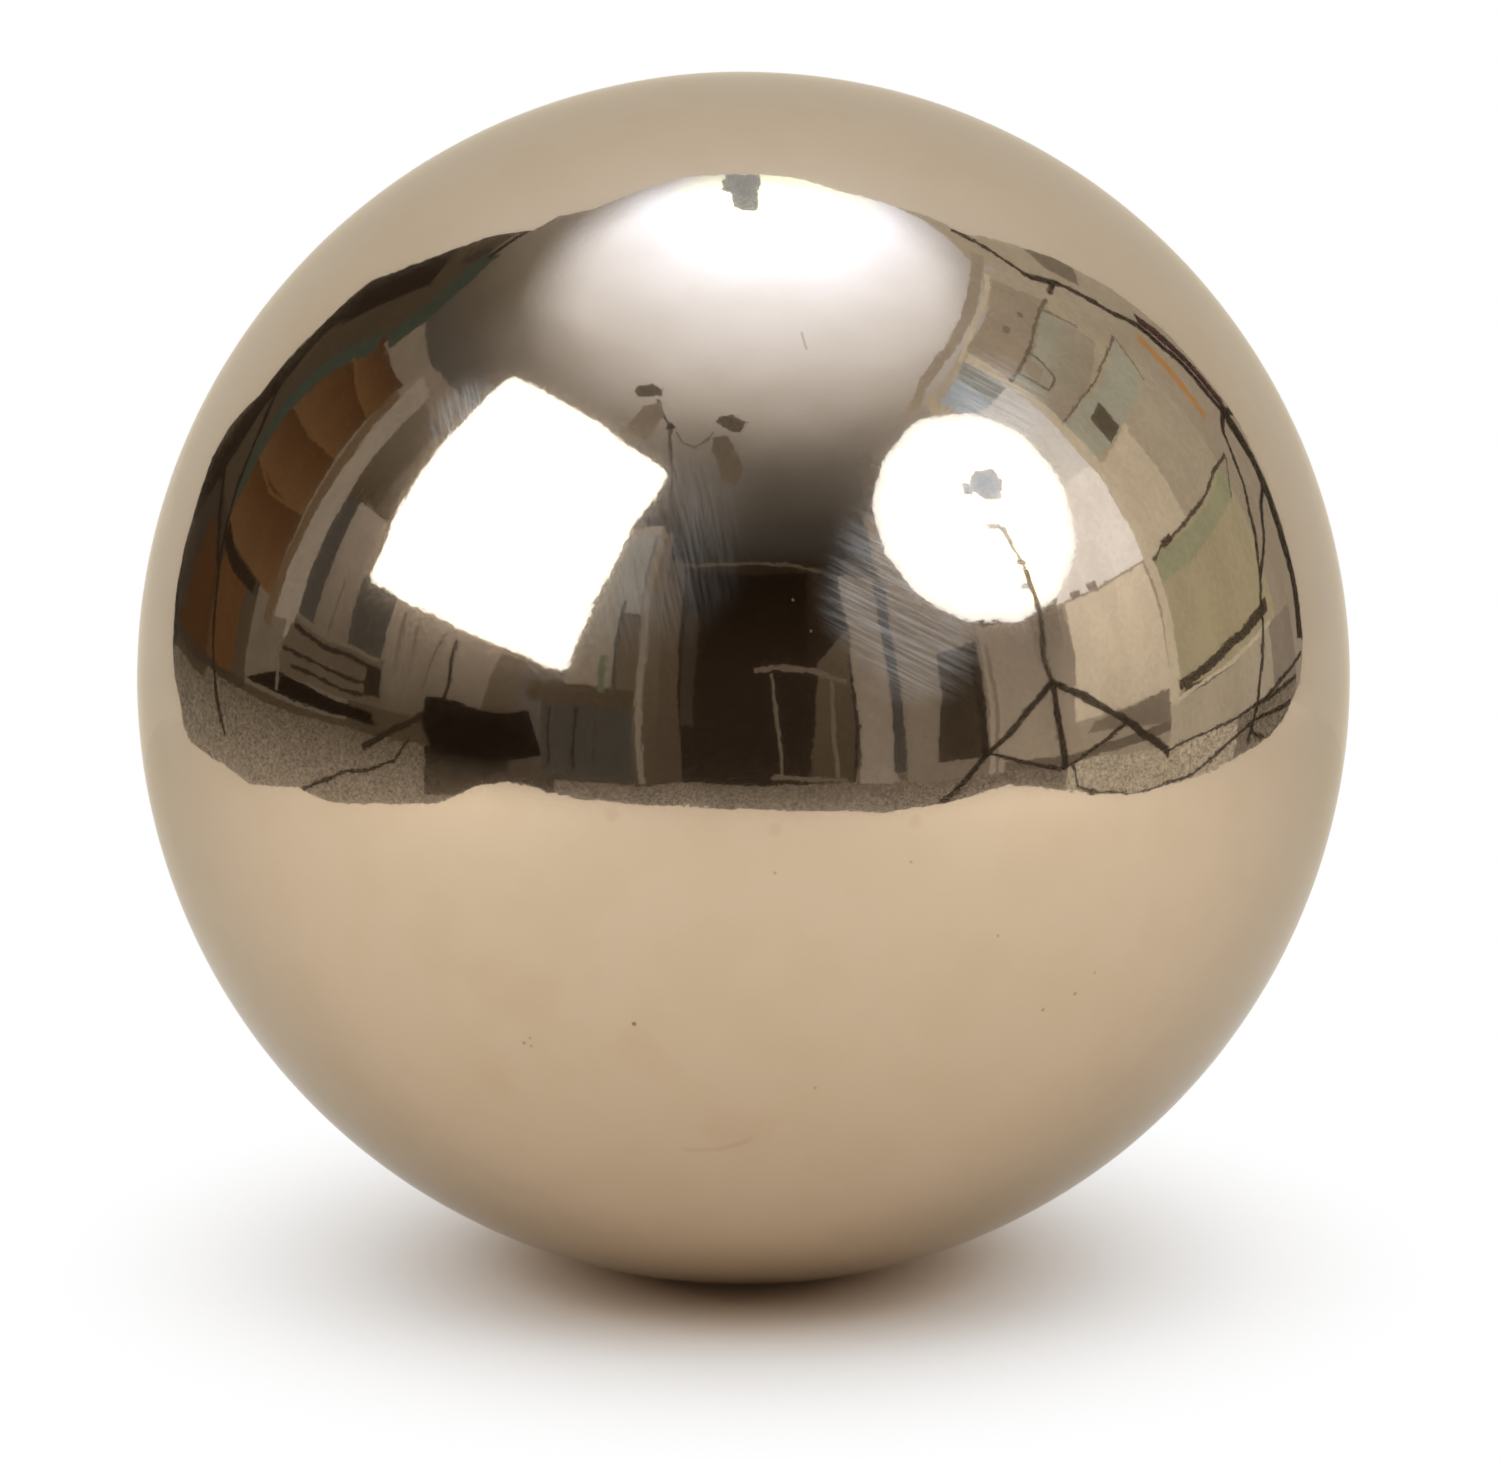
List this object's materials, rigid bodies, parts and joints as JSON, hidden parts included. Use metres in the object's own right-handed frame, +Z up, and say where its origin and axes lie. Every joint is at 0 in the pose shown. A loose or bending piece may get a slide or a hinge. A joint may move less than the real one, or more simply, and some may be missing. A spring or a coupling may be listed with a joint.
{
  "type": "garden sphere",
  "caption": "Hollow round ball of thin sheet steel, closed all round and mirror polished in a warm champagne tone, set out as a garden ornament.",
  "frame": {"origin": "the ball's lowest point, where it touches the ground", "axes": "+Z up through the ball's centre; -Y is the side that faces the camera in the picture, and the ball is the same all round"},
  "size_m": [0.3, 0.2998, 0.3],
  "materials": {
    "polished_steel": "mirror polish with a warm champagne tone, faint hairline polishing marks and a few small specks"
  },
  "bodies": {
    "root": {"sphere_shell": "polished_steel"}
  },
  "joints": []
}
